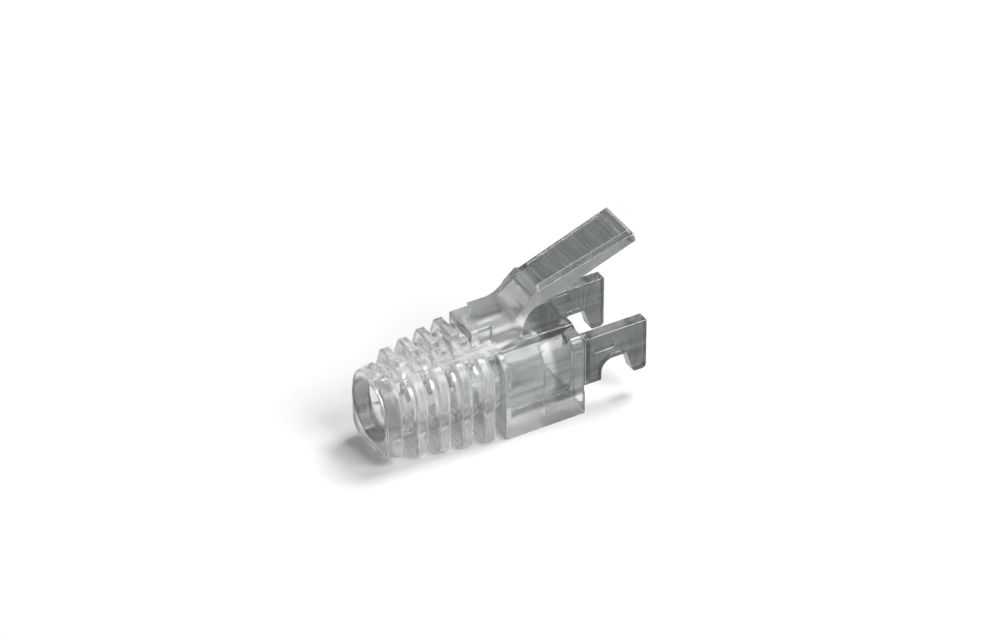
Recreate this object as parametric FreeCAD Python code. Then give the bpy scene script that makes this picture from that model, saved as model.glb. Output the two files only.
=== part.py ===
import FreeCAD, Part
import os

V = FreeCAD.Vector

# Moulded strain relief boot. X runs along the cable from the cable end to the
# plug side, Z is up towards the lever, Y is across. The origin is the centre
# of the cable bore in the end face. All sizes in millimetres.

sleeveLength = 17.8         # ribbed sleeve, from the end face to the body
bodyLength = 12.5           # body, from its rear plate to the flange face
armLength = 9.8             # latch arms beyond the flange face

endHalfWidth = 4.95         # end ring
endTop = 5.5
endBottom = 6.3
bodyHalfWidth = 6.6         # body, and the sleeve where it meets the body
bodyTop = 5.2
bodyBottom = 7.65
footLift = 0.15             # last rib foot above the underside of the body
endShoulder = 4.3           # upper corner radius at the end ring
bodyShoulder = 3.5          # upper corner radius at the body
endCorner = 2.4             # lower corner radii
bodyCorner = 0.5
bellyBulge = 0.42           # how far the ribs belly out below a straight taper
crownBulge = 0.7            # and how far they rise above it

boreRadiusEnd = 4.35        # cable bore
boreRadiusBody = 4.9
coreWall = 0.55             # tube left between the ribs

endRingLength = 2.5
ribCount = 4
ribThickness = 1.75
endGap = 2.0                # groove between the end ring and the first rib
ribFootRadius = 0.5         # rounding of the foot of each rib
ribEdge = 0.22              # bevel of its outer edges

spineHalfEnd = 1.3          # spine that carries the teeth along the top
spineHalfBody = 2.5
spineTopEnd = 6.2
spineTopBody = 8.6
spineSpread = 1.0
spineSlope = 1.6
toothCount = 4
toothFirst = 2.5            # rear face of the first tooth
toothThickness = 1.4
toothTop = 8.55             # top of the first tooth
toothDepth = 3.0            # from its top to its root inside the spine
toothRise = 0.13            # climb of the tops per millimetre
toothHalfFirst = 1.3
toothHalfLast = 2.3
toothDraft = 0.4            # sideways growth of a tooth per millimetre down
toothRadius = 0.3
endToothLength = 1.5        # sloping tooth on the end ring
endToothHalf = 1.6
endToothTop = 7.0

slotTop = 4.8               # side slots between the ribs
slotBottom = -2.6
slotRound = 0.38            # end radius as a share of the width of a slot

plateThickness = 0.8        # rear plate of the body
flangeThickness = 2.2
flangeTop = 5.05
flangeShoulder = 1.6
flangeEdge = 0.25           # bevel of its edges
barrelRadius = 6.4
barrelLift = -0.2           # barrel axis against the bore axis
barrelTop = 5.5             # its top is flattened here
blockTop = -4.0             # rectangular block under the barrel

pocketHalfWidth = 5.8       # plug pocket, open at the flange face
pocketTop = 4.2
pocketBottom = -6.6
pocketDepth = 6.0
pocketRadius = 1.0
pocketStep = 0.6            # web of the flange and the block round the pocket
barrelWall = 0.75

armThickness = 1.8
armTop = 4.75
armRootBottom = -2.9
armSeat = 0.02              # arm let into the flange
hookBottom = -3.4
armEndRadius = 0.7
notchStart = 2.6            # hook notch in the lower edge of an arm
notchStep = 1.2
notchRise = 1.5
notchEnd = 6.6
notchTop = 0.2
bowAlong = 0.35             # where the curve of the notch bows out
bowUp = 0.72
hookSlant = 1.1
recessStart = 1.3           # shallow recess in the outer face of an arm
recessLength = 3.4
recessHeight = 1.5
recessZ = 1.95
recessDepth = 0.3
recessCorner = 0.5

saddleLead = 3.5            # block over the last ribs that carries the lever
saddleHalf = 3.1
saddleTop = 9.6
saddleRadius = 0.5
stepLead = 0.5              # the ramp block starts this far before the body
rampHalf = 3.45
leverSink = 1.5             # root of the ramp block below the top of the body
flatReach = 2.6             # from the sleeve to where the top begins to climb
rootReach = 4.5             # to the foot of the underside of the lever
bendReach = 7.0             # and to the bend
bladeRun = 14.7             # level run of the blade from the bend to the tip
bendZ = 13.4
bendHalf = 3.0
tipZ = 18.2
tipHalf = 3.65
tipThickness = 1.9
tipOverhang = 0.4
bendThickness = 3.3
rootRise = 2.2
leverBevel = 0.6            # bevel along the upper edges of the blade
rampDipAlong = 0.3          # curve of the ramp, as shares of its run and climb
rampDipUp = 0.16
rampTurnAlong = 0.58
rampTurnUp = 0.53
elbowReach = 0.8            # corner of the underside below the bend
elbowRise = 0.3
hollowAlong = 0.35          # hollow of the underside, as shares
hollowUp = 0.72
padStart = 1.2              # shallow pad sunk in the top of the lever
padEnd = 1.6
padMargin = 0.95
padDepth = 0.3

farOut = 30                 # reach of cutting shapes, beyond every surface
openRun = 1.0               # a cut runs this far past the face that it opens
tiny = 0.01                 # margin when edges are picked by where they lie

bodyEnd = sleeveLength + bodyLength
armEnd = bodyEnd + armLength
ribPitch = (sleeveLength - endRingLength - endGap) / ribCount
saddleStart = sleeveLength - saddleLead
toothPitch = (saddleStart - toothFirst) / toothCount
stepX = sleeveLength - stepLead
flatEnd = sleeveLength + flatReach
rootX = sleeveLength + rootReach
bendX = sleeveLength + bendReach
tipX = bendX + bladeRun


def mix(a, b, share):
    return a + (b - a) * share


def lineWire(points):
    return Part.makePolygon(points + [points[0]])


def slab(points, direction):
    return Part.Face(lineWire(points)).extrude(direction)


def boxBetween(x0, x1, y0, y1, z0, z1):
    return Part.makeBox(x1 - x0, y1 - y0, z1 - z0, V(x0, y0, z0))


def edgesAlong(shape, axis):
    found = []
    for edge in shape.Edges:
        run = edge.tangentAt(edge.FirstParameter)
        if len(edge.Vertexes) == 2 and abs(getattr(run, axis)) > 0.999:
            found.append(edge)
    return found


def edgesAbove(shape, height):
    """Edges that lie wholly above a height."""
    return [e for e in shape.Edges if e.BoundBox.ZMin > height + tiny]


def archWire(x, half, top, bottom, shoulder, corner):
    """Closed outline with round shoulders above and small corners below."""
    turn = 0.5 ** 0.5
    corners = [
        (half - shoulder, top - shoulder, shoulder, (0, 1), (1, 0)),
        (half - corner, corner - bottom, corner, (1, 0), (0, -1)),
        (corner - half, corner - bottom, corner, (0, -1), (-1, 0)),
        (shoulder - half, top - shoulder, shoulder, (-1, 0), (0, 1)),
    ]
    edges = []
    first = last = None
    for cy, cz, radius, a, b in corners:
        start = V(x, cy + radius * a[0], cz + radius * a[1])
        end = V(x, cy + radius * b[0], cz + radius * b[1])
        middle = V(x, cy + radius * turn * (a[0] + b[0]), cz + radius * turn * (a[1] + b[1]))
        if last is None:
            first = start
        else:
            edges.append(Part.makeLine(last, start))
        edges.append(Part.Arc(start, middle, end).toShape())
        last = end
    edges.append(Part.makeLine(last, first))
    return Part.Wire(edges)


def sleeveWire(x):
    share = x / sleeveLength
    swell = 4 * share * (1 - share)
    return archWire(
        x,
        mix(endHalfWidth, bodyHalfWidth, share),
        mix(endTop, bodyTop, share) + crownBulge * swell,
        mix(endBottom, bodyBottom - footLift, share) + bellyBulge * swell,
        mix(endShoulder, bodyShoulder, share),
        mix(endCorner, bodyCorner, share),
    )


def ringBetween(x0, x1):
    """One ring of the sleeve with soft outer edges and a rounded foot."""
    ring = Part.makeLoft([sleeveWire(x0), sleeveWire(x1)], True, True)
    rims = [e for e in ring.Edges if e.BoundBox.XLength < ribEdge]
    foot = ring.BoundBox.ZMin
    trim = boxBetween(x0, x1, -farOut, farOut, foot, farOut)
    low = [e for e in edgesAlong(trim, "y") if e.BoundBox.ZMax < 0]
    return ring.makeChamfer(ribEdge, rims).common(trim.makeFillet(ribFootRadius, low))


def ribStarts():
    start = endRingLength + endGap
    return [start + i * ribPitch for i in range(ribCount)]


def ribs():
    rings = [ringBetween(0, endRingLength)]
    return rings + [ringBetween(x, x + ribThickness) for x in ribStarts()]


def cableTube(grow):
    """Straight through the end ring, then widening to the body."""
    first, last = boreRadiusEnd + grow, boreRadiusBody + grow
    straight = Part.makeCylinder(first, endRingLength, V(0, 0, 0), V(1, 0, 0))
    length = sleeveLength - endRingLength
    return straight.fuse(
        Part.makeCone(first, last, length, V(endRingLength, 0, 0), V(1, 0, 0))
    )


def blockSection(x, half, top, bottom):
    return lineWire([V(x, -half, bottom), V(x, half, bottom), V(x, half, top), V(x, -half, top)])


def blockLoft(sections):
    return Part.makeLoft([blockSection(*s) for s in sections], True, True)


def spine():
    """Ridge under the teeth, wider at its foot than at its top."""
    def section(x, half, top):
        foot = top - spineSlope
        points = [(-half, top), (half, top), (half + spineSpread, foot),
                  (half + spineSpread, 0), (-half - spineSpread, 0),
                  (-half - spineSpread, foot)]
        return lineWire([V(x, y, z) for y, z in points])

    return Part.makeLoft([
        section(endRingLength / 2, spineHalfEnd, spineTopEnd),
        section(sleeveLength, spineHalfBody, spineTopBody),
    ], True, True)


def tooth(index):
    share = index / (toothCount - 1)
    x = toothFirst + index * toothPitch
    half = mix(toothHalfFirst, toothHalfLast, share)
    top = toothTop + toothRise * index * toothPitch
    foot = top - toothDepth
    spread = half + toothDraft * toothDepth
    shape = slab(
        [V(x, -spread, foot), V(x, spread, foot), V(x, half, top), V(x, -half, top)],
        V(toothThickness, 0, 0),
    )
    return shape.makeFillet(toothRadius, edgesAbove(shape, foot))


def endTooth():
    shape = blockLoft([
        (0, endToothHalf, endTop, 0),
        (endToothLength, endToothHalf, endToothTop, 0),
    ])
    ridges = [e for e in edgesAbove(shape, 0) if e.BoundBox.XMax > endToothLength / 2]
    return shape.makeFillet(toothRadius, ridges)


def sideSlots():
    starts = ribStarts()
    edges = [endRingLength]
    for x in starts:
        edges += [x, x + ribThickness]
    edges.append(sleeveLength)
    slots = []
    for x0, x1 in zip(edges[::2], edges[1::2]):
        slot = boxBetween(x0, x1, -farOut, farOut, slotBottom, slotTop)
        slots.append(slot.makeFillet(slotRound * (x1 - x0), edgesAlong(slot, "y")))
    return slots


def bodyPlate(x, top, shoulder, thickness):
    wire = archWire(x, bodyHalfWidth, top, bodyBottom, shoulder, bodyCorner)
    return Part.Face(wire).extrude(V(thickness, 0, 0))


def barrel(radius, x0, x1):
    return Part.makeCylinder(radius, x1 - x0, V(x0, 0, barrelLift), V(1, 0, 0))


def body():
    plate = bodyPlate(sleeveLength, bodyTop, bodyShoulder, plateThickness)
    flange = bodyPlate(bodyEnd - flangeThickness, flangeTop, flangeShoulder, flangeThickness)
    rims = [e for e in flange.Edges if e.BoundBox.XLength < tiny]
    flange = flange.makeChamfer(flangeEdge, rims)
    block = boxBetween(
        sleeveLength, bodyEnd, -bodyHalfWidth, bodyHalfWidth, -bodyBottom, blockTop
    )
    crown = boxBetween(sleeveLength, bodyEnd, -farOut, farOut, barrelTop, farOut)
    return [plate, flange, barrel(barrelRadius, sleeveLength, bodyEnd).cut(crown), block]


def plugPocket():
    """Round inside the barrel, square inside the flange and the block."""
    x0 = bodyEnd - pocketDepth
    w = pocketHalfWidth
    box = boxBetween(x0, bodyEnd + openRun, -w, w, pocketBottom, pocketTop)
    box = box.makeFillet(pocketRadius, edgesAlong(box, "x"))
    room = barrel(barrelRadius - barrelWall, x0, bodyEnd + openRun)
    face = bodyEnd - flangeThickness + pocketStep
    mouth = boxBetween(face, farOut + face, -farOut, farOut, -farOut, farOut)
    lower = boxBetween(x0, bodyEnd + openRun, -farOut, farOut, -farOut, blockTop - pocketStep)
    return box.common(room.fuse([mouth, lower]))


def bore():
    run = bodyLength - pocketDepth + openRun
    middle = Part.makeCylinder(boreRadiusBody, run, V(sleeveLength - tiny, 0, 0), V(1, 0, 0))
    return [cableTube(0), middle]


def armOutline(y):
    """Side view of an arm: straight top, a curved notch and a hook below."""
    def at(x, z):
        return V(bodyEnd + x, y, z)

    rise = at(notchStart, armRootBottom + notchStep)
    crest = at(notchStart + notchRise, notchTop)
    bow = at(notchStart + notchRise * bowAlong, mix(rise.z, notchTop, bowUp))
    lines = [
        [at(-armSeat, armTop), at(armLength, armTop), at(armLength, hookBottom),
         at(notchEnd + hookSlant, hookBottom), at(notchEnd, notchTop), crest],
        [rise, at(notchStart, armRootBottom), at(-armSeat, armRootBottom), at(-armSeat, armTop)],
    ]
    edges = [Part.makeLine(a, b) for a, b in zip(lines[0], lines[0][1:])]
    edges.append(Part.Arc(crest, bow, rise).toShape())
    edges += [Part.makeLine(a, b) for a, b in zip(lines[1], lines[1][1:])]
    return Part.Wire(edges)


def arm():
    outer = -bodyHalfWidth
    plate = Part.Face(armOutline(outer)).extrude(V(0, armThickness, 0))
    ends = [
        e for e in edgesAlong(plate, "y")
        if e.BoundBox.ZMax < hookBottom + tiny or e.BoundBox.XMin > armEnd - tiny
    ]
    plate = plate.makeFillet(armEndRadius, [e for e in ends if e.BoundBox.ZMax < 0])
    recess = boxBetween(
        bodyEnd + recessStart, bodyEnd + recessStart + recessLength,
        outer - openRun, outer + recessDepth, recessZ, recessZ + recessHeight,
    )
    return plate.cut(recess.makeFillet(recessCorner, edgesAlong(recess, "y")))


def arms():
    near = arm()
    return [near, near.mirror(V(0, 0, 0), V(0, 1, 0))]


def leverTopAt(x):
    return mix(bendZ, tipZ, (x - bendX) / bladeRun)


def leverProfile():
    """Side view of the lever with its ramp and its hollow underside."""
    def at(x, z):
        return V(x, -farOut, z)

    foot = bodyTop - leverSink
    under = bendZ - bendThickness
    points = [
        at(stepX, foot), at(stepX, saddleTop), at(flatEnd, saddleTop),
    ]
    edges = [Part.makeLine(a, b) for a, b in zip(points, points[1:])]
    turn = at(mix(flatEnd, bendX, rampTurnAlong), mix(saddleTop, bendZ, rampTurnUp))
    dip = at(mix(flatEnd, bendX, rampDipAlong), mix(saddleTop, bendZ, rampDipUp))
    edges.append(Part.Arc(points[-1], dip, turn).toShape())
    edges.append(Part.makeLine(turn, at(bendX, bendZ)))
    tail = [
        at(bendX, bendZ), at(tipX, tipZ), at(tipX + tipOverhang, tipZ - tipThickness),
        at(bendX + elbowReach, under + elbowRise),
    ]
    edges += [Part.makeLine(a, b) for a, b in zip(tail, tail[1:])]
    heel = at(rootX, bodyTop + rootRise)
    inner = at(mix(rootX, bendX, hollowAlong), mix(heel.z, under, hollowUp))
    edges.append(Part.Arc(tail[-1], inner, heel).toShape())
    edges += [Part.makeLine(heel, at(rootX, foot)), Part.makeLine(at(rootX, foot), points[0])]
    return Part.Face(Part.Wire(edges)).extrude(V(0, 2 * farOut, 0))


def leverPlan():
    """Plan of the lever, waisted at the bend."""
    end = tipX + tipOverhang
    right = [(stepX, rampHalf), (flatEnd, rampHalf), (bendX, bendHalf), (end, tipHalf)]
    points = [V(x, -y, 0) for x, y in right] + [V(x, y, 0) for x, y in reversed(right)]
    return slab(points, V(0, 0, farOut))


def pad():
    """Shallow pad, parallel to the top of the lever."""
    x0, x1 = bendX + padStart, tipX - padEnd
    wide0 = mix(bendHalf, tipHalf, padStart / bladeRun) - padMargin
    wide1 = tipHalf - padMargin
    return blockLoft([
        (x0, wide0, leverTopAt(x0) + tipThickness, leverTopAt(x0) - padDepth),
        (x1, wide1, leverTopAt(x1) + tipThickness, leverTopAt(x1) - padDepth),
    ])


def saddle():
    block = boxBetween(saddleStart, sleeveLength, -saddleHalf, saddleHalf, 0, saddleTop)
    ridges = [e for e in edgesAlong(block, "x") if e.BoundBox.ZMin > saddleTop - tiny]
    return block.makeFillet(saddleRadius, ridges)


def lever():
    """Ramp and blade, bevelled along the sides and the tip of the blade."""
    shape = leverProfile().common(leverPlan())
    upper = [
        e for e in shape.Edges
        if e.CenterOfMass.x > bendX + tiny
        and e.CenterOfMass.z > leverTopAt(e.CenterOfMass.x) - tiny
    ]
    return shape.makeChamfer(leverBevel, upper).cut(pad())


def boot():
    pieces = ribs() + [cableTube(coreWall), spine(), endTooth()]
    pieces += [tooth(i) for i in range(toothCount)]
    pieces += body() + [saddle(), lever()] + arms()
    shape = pieces[0].fuse(pieces[1:])
    shape = shape.cut(bore() + sideSlots() + [plugPocket()])
    return shape.removeSplitter()


os.makedirs("parts", exist_ok=True)
part = boot()
print("solids", len(part.Solids), "valid", part.isValid(), "volume", round(part.Volume, 1))
part.exportStep("parts/strain_relief_boot.step")
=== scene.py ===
import math

import bmesh
import bpy
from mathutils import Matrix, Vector
from mathutils.kdtree import KDTree


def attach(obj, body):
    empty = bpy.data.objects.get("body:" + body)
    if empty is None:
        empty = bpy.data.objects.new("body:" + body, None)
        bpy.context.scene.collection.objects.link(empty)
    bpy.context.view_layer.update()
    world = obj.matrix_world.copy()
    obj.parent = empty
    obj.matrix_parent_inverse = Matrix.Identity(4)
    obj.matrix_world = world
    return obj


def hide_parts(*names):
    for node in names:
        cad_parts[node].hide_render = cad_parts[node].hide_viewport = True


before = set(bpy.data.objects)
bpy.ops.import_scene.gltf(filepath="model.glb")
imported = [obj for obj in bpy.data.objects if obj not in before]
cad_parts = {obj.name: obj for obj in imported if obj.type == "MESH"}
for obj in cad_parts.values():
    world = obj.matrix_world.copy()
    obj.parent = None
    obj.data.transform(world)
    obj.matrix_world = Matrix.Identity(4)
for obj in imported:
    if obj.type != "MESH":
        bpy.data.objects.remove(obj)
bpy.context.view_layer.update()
mm = 0.001


def addNode(tree, kind, **inputs):
    node = tree.nodes.new(kind)
    for socket, value in inputs.items():
        node.inputs[socket.replace("_", " ")].default_value = value
    return node


def join(tree, source, target):
    tree.links.new(source, target)


def newMaterial(name):
    material = bpy.data.materials.new(name)
    material.use_nodes = True
    material.node_tree.nodes.clear()
    return material


def combine(tree, operation, a, b):
    node = tree.nodes.new("ShaderNodeMath")
    node.operation = operation
    for slot, value in ((0, a), (1, b)):
        if isinstance(value, (int, float)):
            node.inputs[slot].default_value = value
        else:
            join(tree, value, node.inputs[slot])
    return node.outputs[0]


def inverse(tree, mask):
    return combine(tree, "SUBTRACT", 1, mask)


def step(tree, value, low, high):
    # 0 below low, 1 above high, smooth between
    node = tree.nodes.new("ShaderNodeMapRange")
    node.interpolation_type = "SMOOTHSTEP"
    join(tree, value, node.inputs["Value"])
    node.inputs["From Min"].default_value = low
    node.inputs["From Max"].default_value = high
    return node.outputs["Result"]


def vectorNode(tree, operation, source):
    node = tree.nodes.new("ShaderNodeVectorMath")
    node.operation = operation
    join(tree, source, node.inputs[0])
    return node


def inMillimetres(tree, coords):
    node = vectorNode(tree, "SCALE", coords.outputs["Object"])
    node.inputs["Scale"].default_value = 1 / mm
    return node.outputs[0]


def mixColor(tree, mask, first, second, blend="MIX"):
    node = tree.nodes.new("ShaderNodeMix")
    node.data_type = "RGBA"
    node.blend_type = blend
    join(tree, mask, node.inputs[0])
    for slot, value in ((6, first), (7, second)):
        if isinstance(value, tuple):
            node.inputs[slot].default_value = value
        else:
            join(tree, value, node.inputs[slot])
    return node.outputs[2]


def darken(tree, mask, color, level):
    return mixColor(tree, mask, color, (level, level, level, 1), blend="MULTIPLY")


# where the blend from one region to the next starts and ends, in millimetres
zones = {
    "mouthEnd": (2.0, 3.0),
    "boreWall": (4.55, 4.95),
    "sleeveEnd": (17.7, 18.7),
    "blockTop": (-4.4, -4.0),
    "pocketStart": (25.3, 26.3),
    "flangeFront": (30.0, 30.3),
    "bladeStart": (24.3, 25.5),
    "rampFoot": (5.4, 5.8),
    "rampHigh": (8.7, 10.1),
    "bladeUp": (-0.31, 0, 0.95),      # the way the top of the blade faces
    "bladeFlat": (0.93, 0.98),        # cosine of a face's angle to it
    "sideFlat": (0.8, 0.95),          # the same, to straight sideways
}


def buildZones():
    group = bpy.data.node_groups.new("mouldZones", "ShaderNodeTree")
    for name in ("Sleeve", "Block", "Arms", "Blade", "Ramp", "Flat", "Slope", "PocketShade", "MouthShade"):
        group.interface.new_socket(name, in_out="OUTPUT", socket_type="NodeSocketFloat")
    result = group.nodes.new("NodeGroupOutput").inputs
    coords = group.nodes.new("ShaderNodeTexCoord")
    apart = group.nodes.new("ShaderNodeSeparateXYZ")
    join(group, inMillimetres(group, coords), apart.inputs[0])
    x, y, z = apart.outputs

    def both(a, b):
        return combine(group, "MULTIPLY", a, b)

    high = step(group, z, *zones["rampFoot"])
    low = inverse(group, high)
    beyond = step(group, x, *zones["bladeStart"])
    before = inverse(group, beyond)
    front = step(group, x, *zones["flangeFront"])
    under = inverse(group, step(group, z, *zones["blockTop"]))
    join(group, inverse(group, step(group, x, *zones["sleeveEnd"])), result["Sleeve"])
    join(group, both(under, inverse(group, front)), result["Block"])
    join(group, both(front, low), result["Arms"])
    join(group, both(beyond, high), result["Blade"])
    join(group, both(before, high), result["Ramp"])
    join(group, both(before, step(group, z, *zones["rampHigh"])), result["Slope"])
    join(group, both(step(group, x, *zones["pocketStart"]), low), result["PocketShade"])

    # inner wall of the bore, near its mouth, where shade is painted
    across = group.nodes.new("ShaderNodeCombineXYZ")
    join(group, y, across.inputs["Y"])
    join(group, z, across.inputs["Z"])
    radius = vectorNode(group, "LENGTH", across.outputs[0]).outputs["Value"]
    outside = step(group, radius, *zones["boreWall"])
    deep = step(group, x, *zones["mouthEnd"])
    join(group, inverse(group, combine(group, "MAXIMUM", outside, deep)), result["MouthShade"])

    # large flat faces: the sides of the arms, and the top and underside of the blade
    facing = group.nodes.new("ShaderNodeSeparateXYZ")
    join(group, coords.outputs["Normal"], facing.inputs[0])
    sideways = combine(group, "ABSOLUTE", facing.outputs["Y"], 0)
    upward = vectorNode(group, "DOT_PRODUCT", coords.outputs["Normal"])
    upward.inputs[1].default_value = zones["bladeUp"]
    level = combine(group, "ABSOLUTE", upward.outputs["Value"], 0)
    armSides = both(step(group, sideways, *zones["sideFlat"]), low)
    bladeFaces = both(step(group, level, *zones["bladeFlat"]), high)
    join(group, combine(group, "MAXIMUM", armSides, bladeFaces), result["Flat"])
    return group


# size against the grain, detail, and how far it is drawn out along X, Y and Z (less is longer)
grainLook = {
    "Height": (1, 3, (1, 1, 1)),
    "Cloud": (9, 2, (1, 1, 1)),
    "ReflectionStreak": (6, 2, (0.04, 1, 1)),       # painted reflection streaks, drawn out along the sleeve
    "Brush": (1, 1, (1, 0.03, 0.06)),     # across it
}


def buildGrain():
    group = bpy.data.node_groups.new("mouldGrain", "ShaderNodeTree")
    group.interface.new_socket("Size", in_out="INPUT", socket_type="NodeSocketFloat")
    for name in grainLook:
        group.interface.new_socket(name, in_out="OUTPUT", socket_type="NodeSocketFloat")
    inlet = group.nodes.new("NodeGroupInput")
    result = group.nodes.new("NodeGroupOutput")
    place = inMillimetres(group, group.nodes.new("ShaderNodeTexCoord"))
    for name, (share, detail, stretch) in grainLook.items():
        noise = addNode(group, "ShaderNodeTexNoise", Detail=detail)
        drawn = vectorNode(group, "MULTIPLY", place)
        drawn.inputs[1].default_value = stretch
        join(group, drawn.outputs[0], noise.inputs["Vector"])
        size = combine(group, "MULTIPLY", inlet.outputs["Size"], share)
        join(group, combine(group, "DIVIDE", 1, size), noise.inputs["Scale"])
        join(group, noise.outputs["Fac"], result.inputs[name])
    return group


plastic = {
    "milky": (0.97, 0.985, 0.98, 1),      # ribs, saddle and foot of the block
    "clear": (0.86, 0.895, 0.89, 1),      # barrel
    "deep": (0.4, 0.42, 0.42, 1),         # painted shade: round the plug pocket, where the cavity behind shows dark, and on the rims of the thin parts
    # painted shade on the upper part of the ramp
    "slopeShade": (0.45, 0.465, 0.46, 1),
    # painted shade on the bore wall near its mouth
    "mouth": (0.2, 0.21, 0.21, 1),
    "flatShade": (0.22, 0.237, 0.235, 1),     # painted shade on the flat faces of the arms and the blade
    "grain": 0.22,                        # millimetres
    "cloudLevel": 0.88,                   # how dark the cloudy patches are
    "cloudRange": (0.35, 0.65),
    "reflectionStreakLevel": 0.62,                  # how dark the painted reflection streaks on the barrel are
    "reflectionStreakRange": (0.5, 0.58),
    "brushLevel": 0.58,
    "brushRange": (0.3, 0.7),
    "bumpStrength": 0.8,
    "bumpDistance": 0.03 * mm,
    "roughness": 0.1,
    "milkyRoughness": 0.2,
    "ior": 1.49,
    "transmission": 0.9,
    "edgeTransmission": 0.55,             # sharp outer edges scatter more light; on the thin parts they also carry a painted highlight
}


def buildPlastic(zoneGroup, grainGroup, edge):
    material = newMaterial("edgeWithPaintedHighlight" if edge else "clearPlastic")
    tree = material.node_tree
    zoneMasks = tree.nodes.new("ShaderNodeGroup")
    zoneMasks.node_tree = zoneGroup
    masks = zoneMasks.outputs
    grain = tree.nodes.new("ShaderNodeGroup")
    grain.node_tree = grainGroup
    grain.inputs["Size"].default_value = plastic["grain"]

    def both(a, b):
        return combine(tree, "MULTIPLY", a, b)

    def either(a, b):
        return combine(tree, "MAXIMUM", a, b)

    milky = either(masks["Sleeve"], either(masks["Block"], masks["Ramp"]))
    thin = either(masks["Arms"], masks["Blade"])
    # flat faces of the thin parts: painted shade, with brushed grain and bump
    flatShadeAndGrain = both(thin, masks["Flat"])
    reflectionStreakParts = inverse(tree, either(milky, masks["Blade"]))
    # painted shade round the plug pocket and on the blade
    color = mixColor(tree, either(masks["PocketShade"], masks["Blade"]), plastic["clear"], plastic["deep"])
    color = mixColor(tree, milky, color, plastic["milky"])
    # painted shade on the upper part of the ramp
    color = mixColor(tree, masks["Slope"], color, plastic["slopeShade"])
    # painted shade on the bore wall near its mouth
    color = mixColor(tree, masks["MouthShade"], color, plastic["mouth"])
    # painted highlight: in the edge material the rims of the arms and blade take the light milky
    # colour
    if edge:
        color = mixColor(tree, thin, color, plastic["milky"])
    # painted shade: otherwise the flat faces of the arms and blade darken
    else:
        color = mixColor(tree, flatShadeAndGrain, color, plastic["flatShade"])
    cloud = step(tree, grain.outputs["Cloud"], *plastic["cloudRange"])
    reflectionStreak = step(tree, grain.outputs["ReflectionStreak"], *plastic["reflectionStreakRange"])
    brush = step(tree, grain.outputs["Brush"], *plastic["brushRange"])
    color = darken(tree, cloud, color, plastic["cloudLevel"])
    # painted reflection streaks on the barrel and arms
    color = darken(tree, both(reflectionStreak, reflectionStreakParts), color, plastic["reflectionStreakLevel"])
    color = darken(tree, both(brush, flatShadeAndGrain), color, plastic["brushLevel"])

    rough = addNode(
        tree, "ShaderNodeMapRange", To_Min=plastic["roughness"], To_Max=plastic["milkyRoughness"],
    )
    join(tree, milky, rough.inputs["Value"])
    relief = addNode(
        tree, "ShaderNodeBump", Strength=plastic["bumpStrength"], Distance=plastic["bumpDistance"],
    )
    join(tree, both(grain.outputs["Height"], flatShadeAndGrain), relief.inputs["Height"])
    surface = addNode(
        tree, "ShaderNodeBsdfPrincipled", IOR=plastic["ior"],
        Transmission_Weight=plastic["edgeTransmission"] if edge else plastic["transmission"],
    )
    join(tree, color, surface.inputs["Base Color"])
    join(tree, rough.outputs["Result"], surface.inputs["Roughness"])
    join(tree, relief.outputs["Normal"], surface.inputs["Normal"])
    output = addNode(tree, "ShaderNodeOutputMaterial")
    join(tree, surface.outputs["BSDF"], output.inputs["Surface"])
    return material


moulding = {
    "merge": 0.002 * mm,
    "voxel": 0.09 * mm,
    "facesKept": 0.16,
    "edgeAngle": 26,           # outer edges that turn more than this look lighter, by a painted highlight
    "rimWidth": 0.1 * mm,      # on each side of the edge
    "rimStep": 0.05 * mm,
    "flatWeight": 80,          # how far the large faces lead the shading
}


def cleanSolid():
    shape = bmesh.new()
    shape.from_mesh(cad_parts["strain_relief_boot"].data)
    bmesh.ops.remove_doubles(shape, verts=shape.verts, dist=moulding["merge"])
    return shape


def edgeFinder(shape):
    # points along every sharp outer edge
    points = []
    for edge in shape.edges:
        if not edge.is_manifold or edge.calc_face_angle_signed() < math.radians(moulding["edgeAngle"]):
            continue
        first, last = (vertex.co for vertex in edge.verts)
        count = max(1, math.ceil(edge.calc_length() / moulding["rimStep"]))
        points += [first.lerp(last, i / count) for i in range(count + 1)]
    finder = KDTree(len(points))
    for i, point in enumerate(points):
        finder.insert(point, i)
    finder.balance()
    return finder


def softenEdges(boot):
    # an even fine skin, laid back on the solid, rounds each edge by about a voxel
    fine = boot.modifiers.new("fine", "REMESH")
    fine.mode = "VOXEL"
    fine.voxel_size = moulding["voxel"]
    fine.use_smooth_shade = True
    snug = boot.modifiers.new("snug", "SHRINKWRAP")
    snug.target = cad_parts["strain_relief_boot"]
    thin = boot.modifiers.new("thin", "DECIMATE")
    thin.ratio = moulding["facesKept"]
    ready = boot.evaluated_get(bpy.context.evaluated_depsgraph_get())
    boot.data = bpy.data.meshes.new_from_object(ready)
    boot.modifiers.clear()


def paintMoulding(boot, edges):
    zoneGroup, grainGroup = buildZones(), buildGrain()
    boot.data.materials.clear()
    for edge in (False, True):
        boot.data.materials.append(buildPlastic(zoneGroup, grainGroup, edge))
    near = [edges.find(vertex.co)[2] < moulding["rimWidth"] for vertex in boot.data.vertices]
    for face in boot.data.polygons:
        face.material_index = int(all(near[i] for i in face.vertices))


def buildMoulding():
    shape = cleanSolid()
    edges = edgeFinder(shape)
    mesh = bpy.data.meshes.new("bootMoulding")
    shape.to_mesh(mesh)
    shape.free()
    boot = bpy.data.objects.new("bootMoulding", mesh)
    bpy.context.scene.collection.objects.link(boot)
    softenEdges(boot)
    paintMoulding(boot, edges)
    even = boot.modifiers.new("even", "WEIGHTED_NORMAL")
    even.weight = moulding["flatWeight"]
    even.keep_sharp = True
    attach(boot, "root")
    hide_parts("strain_relief_boot")
    print("moulding done,", len(boot.data.polygons), "faces")


buildMoulding()


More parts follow.
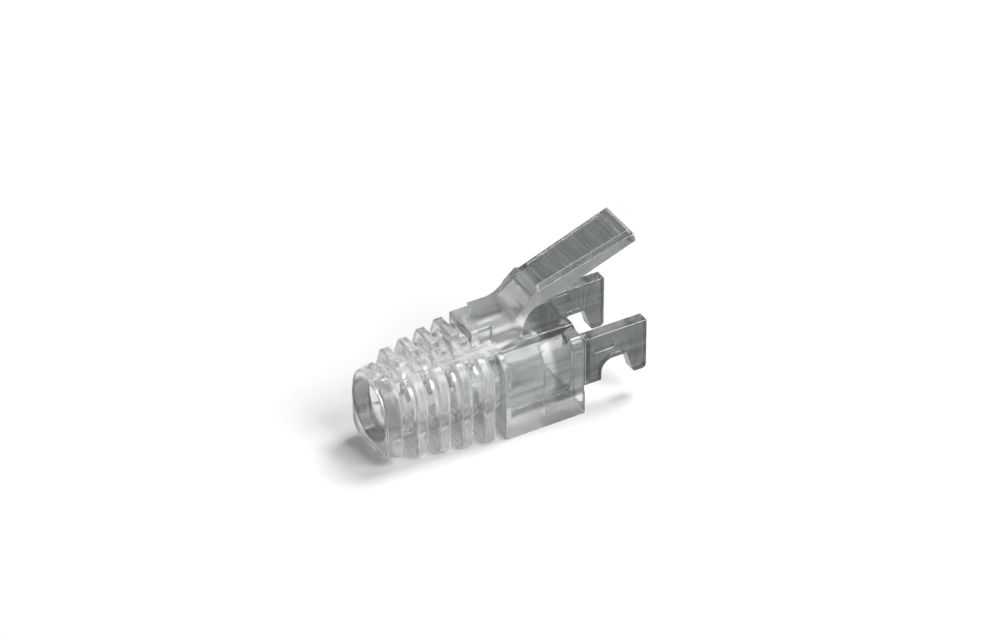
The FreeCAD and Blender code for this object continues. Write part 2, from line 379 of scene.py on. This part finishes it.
def seenByLens(tree):
    # 1 for what the lens sees directly, in the gloss or through the plastic
    path = addNode(tree, "ShaderNodeLightPath")
    total = path.outputs["Is Camera Ray"]
    for name in ("Is Glossy Ray", "Is Transmission Ray"):
        total = combine(tree, "MAXIMUM", total, path.outputs[name])
    return total


floorLook = {
    "size": 3.0,
    "height": -7.66 * mm,
    "color": (0.97, 0.97, 0.97, 1),
    "glow": 0.05,
}


def buildFloor():
    half = floorLook["size"] / 2
    mesh = bpy.data.meshes.new("floor")
    mesh.from_pydata(
        [(-half, -half, 0), (half, -half, 0), (half, half, 0), (-half, half, 0)],
        [], [(0, 1, 2, 3)],
    )
    floor = bpy.data.objects.new("floor", mesh)
    floor.location.z = floorLook["height"]
    bpy.context.scene.collection.objects.link(floor)
    material = newMaterial("whiteFloor")
    tree = material.node_tree
    matte = addNode(tree, "ShaderNodeBsdfDiffuse", Color=floorLook["color"])
    glow = addNode(tree, "ShaderNodeEmission", Strength=floorLook["glow"])
    lit = addNode(tree, "ShaderNodeAddShader")
    join(tree, matte.outputs[0], lit.inputs[0])
    join(tree, glow.outputs[0], lit.inputs[1])
    blend = addNode(tree, "ShaderNodeMixShader")
    join(tree, seenByLens(tree), blend.inputs["Fac"])
    join(tree, matte.outputs[0], blend.inputs[1])
    join(tree, lit.outputs[0], blend.inputs[2])
    output = addNode(tree, "ShaderNodeOutputMaterial")
    join(tree, blend.outputs[0], output.inputs["Surface"])
    mesh.materials.append(material)
    print("floor done")


buildFloor()


def awayFrom(azimuth, elevation):
    a, e = math.radians(azimuth), math.radians(elevation)
    return Vector((math.sin(a) * math.cos(e), -math.cos(a) * math.cos(e), math.sin(e)))


def lookAt(thing, target):
    toward = target - thing.location
    thing.rotation_euler = toward.to_track_quat("-Z", "Y").to_euler()


lighting = {
    "world": 0.08,
    "surround": 0.8,           # the same world in the gloss and through the plastic
    "middle": (18, 0, 0),      # millimetres
    "distance": 3.0,           # metres
    # watts, size in metres, azimuth, elevation
    "lamps": {"right": (56, 1.1, 98, 64), "front": (52, 1.4, 24, 48)},
}


def buildLight():
    world = bpy.data.worlds.new("studio")
    bpy.context.scene.world = world
    world.use_nodes = True
    tree = world.node_tree
    tree.nodes["Background"].inputs["Color"].default_value = (1, 1, 1, 1)
    level = addNode(
        tree, "ShaderNodeMapRange", To_Min=lighting["world"], To_Max=lighting["surround"],
    )
    join(tree, seenByLens(tree), level.inputs["Value"])
    join(tree, level.outputs["Result"], tree.nodes["Background"].inputs["Strength"])
    middle = Vector(lighting["middle"]) * mm
    for name, (energy, size, azimuth, elevation) in lighting["lamps"].items():
        lamp = bpy.data.lights.new(name, "AREA")
        lamp.energy = energy
        lamp.size = size
        softBox = bpy.data.objects.new(name, lamp)
        softBox.location = middle + awayFrom(azimuth, elevation) * lighting["distance"]
        lookAt(softBox, middle)
        bpy.context.scene.collection.objects.link(softBox)
    print("light done")


buildLight()

# millimetres and degrees
lens = {
    "azimuth": -30,
    "elevation": 36,
    "pivot": (18, 0, 3),
    "right": 2.22,             # how far the aim lies to the right of the pivot
    "up": 4.89,                # and above it, as the camera sees them
    "distance": 800,
    "focal": 210.2,
    "sensor": 36,
}


def buildCamera():
    a, e = math.radians(lens["azimuth"]), math.radians(lens["elevation"])
    back = awayFrom(lens["azimuth"], lens["elevation"])
    right = Vector((math.cos(a), math.sin(a), 0))
    up = Vector((-math.sin(a) * math.sin(e), math.cos(a) * math.sin(e), math.cos(e)))
    aim = Vector(lens["pivot"]) + right * lens["right"] + up * lens["up"]
    data = bpy.data.cameras.new("camera")
    data.lens = lens["focal"]
    data.sensor_width = lens["sensor"]
    camera = bpy.data.objects.new("camera", data)
    camera.location = (aim + back * lens["distance"]) * mm
    lookAt(camera, aim * mm)
    bpy.context.scene.collection.objects.link(camera)
    bpy.context.scene.camera = camera
    print("camera done")


buildCamera()

bpy.context.scene.view_settings.view_transform = "Standard"
